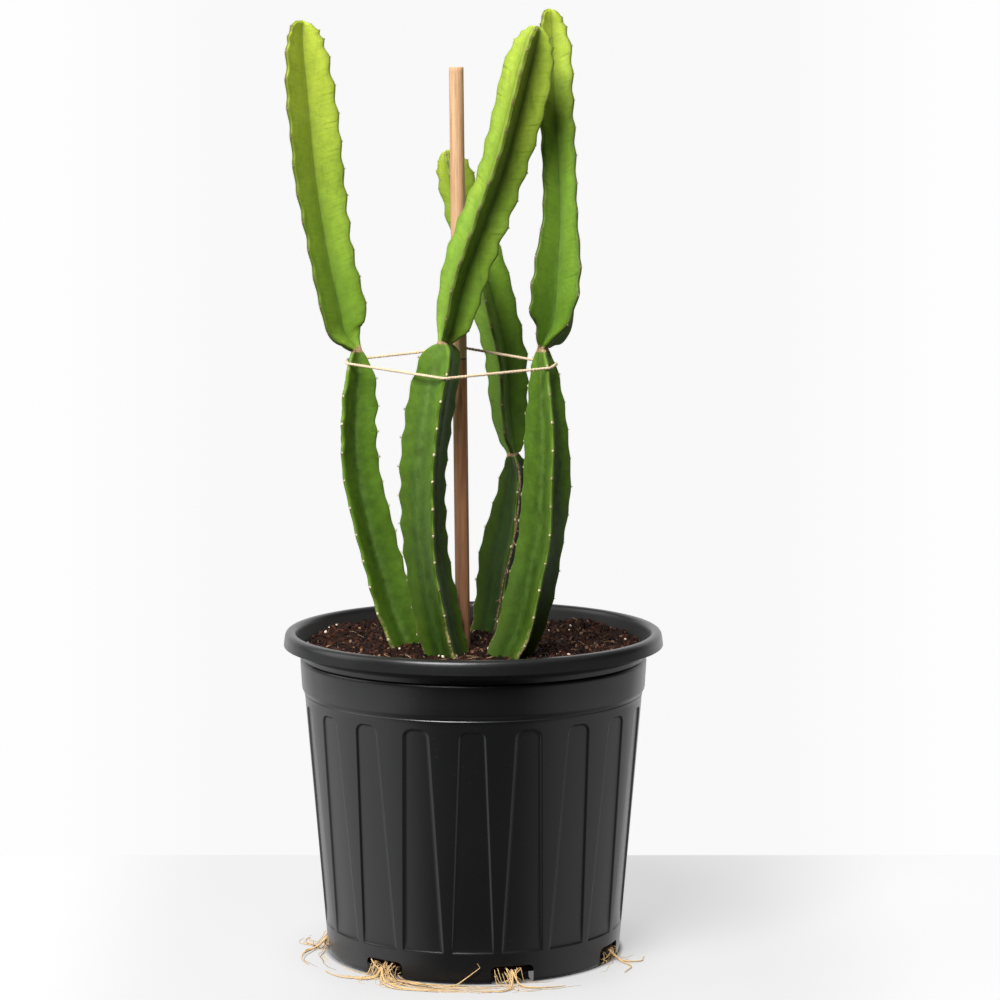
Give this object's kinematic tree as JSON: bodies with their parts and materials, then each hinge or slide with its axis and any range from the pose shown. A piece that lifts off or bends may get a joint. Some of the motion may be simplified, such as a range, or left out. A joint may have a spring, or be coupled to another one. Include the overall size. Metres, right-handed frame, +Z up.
{
  "type": "potted dragon fruit cactus",
  "caption": "Three-ribbed climbing cactus stems with wavy edges, tied with twine to a wooden stake, growing in a round black fluted nursery pot",
  "frame": {"origin": "the middle of the pot's foot, on the surface that the pot stands on", "axes": "+Z up along the pot's axis, -Y towards the front, from where the picture was taken, +X to the right as seen from the front"},
  "size_m": [0.2798, 0.2798, 0.6942],
  "materials": {
    "pot_plastic": "black moulded polypropylene, semi-matt",
    "potting_mix": "coarse dark bark and coir crumb with pale grains",
    "stem_skin": "waxy green skin, brighter on the young joints",
    "stake_wood": "plain turned wood, dry",
    "jute": "twisted natural jute",
    "root_skin": "dry tan root bark"
  },
  "bodies": {
    "root": {"pot": "pot_plastic", "potting_mix": "potting_mix", "stem_left": "stem_skin", "stem_front": "stem_skin", "stem_right": "stem_skin", "stem_back": "stem_skin", "stake": "stake_wood", "twine": "jute", "aerial_root": "root_skin", "roots_front_left": "root_skin", "roots_front": "root_skin", "roots_right": "root_skin", "roots_left": "root_skin"}
  },
  "joints": []
}
